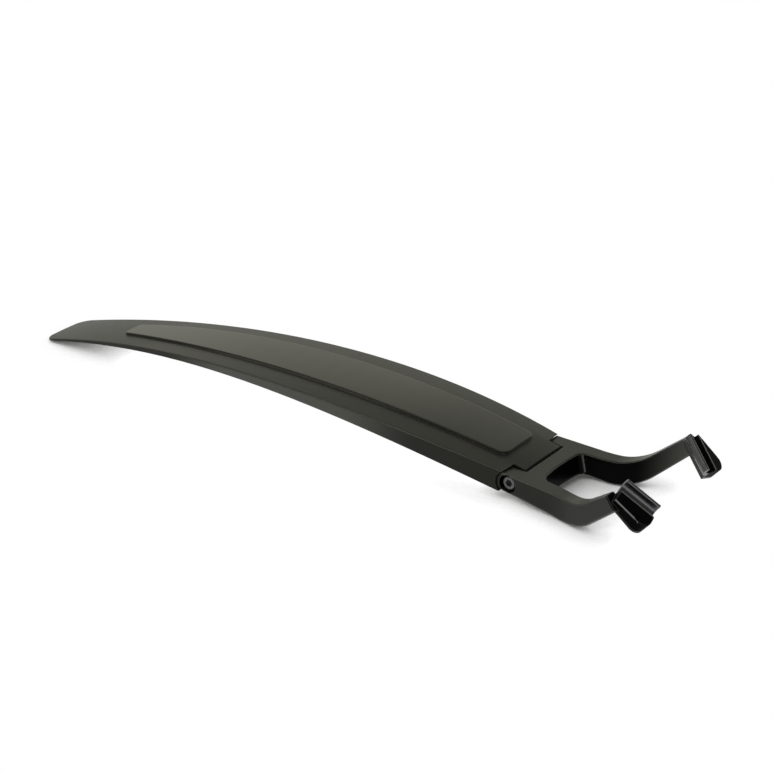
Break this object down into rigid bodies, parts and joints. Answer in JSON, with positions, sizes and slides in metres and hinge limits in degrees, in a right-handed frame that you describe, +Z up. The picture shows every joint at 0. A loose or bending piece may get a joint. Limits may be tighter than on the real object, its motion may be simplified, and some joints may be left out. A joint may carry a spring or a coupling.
{
  "type": "bicycle mudguard",
  "caption": "Clip-on bicycle mudguard: a long arched plastic blade with a raised middle panel, hinged on a forked bracket whose snap clips grip the rails of a saddle.",
  "frame": {"origin": "on the table under the middle of the part: centre of the footprint of its overall box", "axes": "+X from the tip of the blade to the rail clips, +Y across, +Z up; the part lies on the tip of the blade and the lower bends of the prongs"},
  "size_m": [0.4758, 0.099, 0.0411],
  "materials": {
    "blade_plastic": "fine matte grain, dark warm grey",
    "bracket_plastic": "fine matte grain, smooth black inside the fork and clips",
    "bolt_steel": "black oxide",
    "nut_steel": "plain zinc"
  },
  "bodies": {
    "bracket": {"saddle_bracket": "bracket_plastic", "hinge_bolt": "bolt_steel", "hinge_nut": "nut_steel"},
    "blade": {"mudguard_blade": "blade_plastic"}
  },
  "joints": [
    {"name": "blade_tilt", "type": "hinge", "parent": "bracket", "child": "blade", "pos_m": [0.13905, 0, 0.0113], "axis": [0, 1, 0], "range_deg": [-30, 45]}
  ]
}
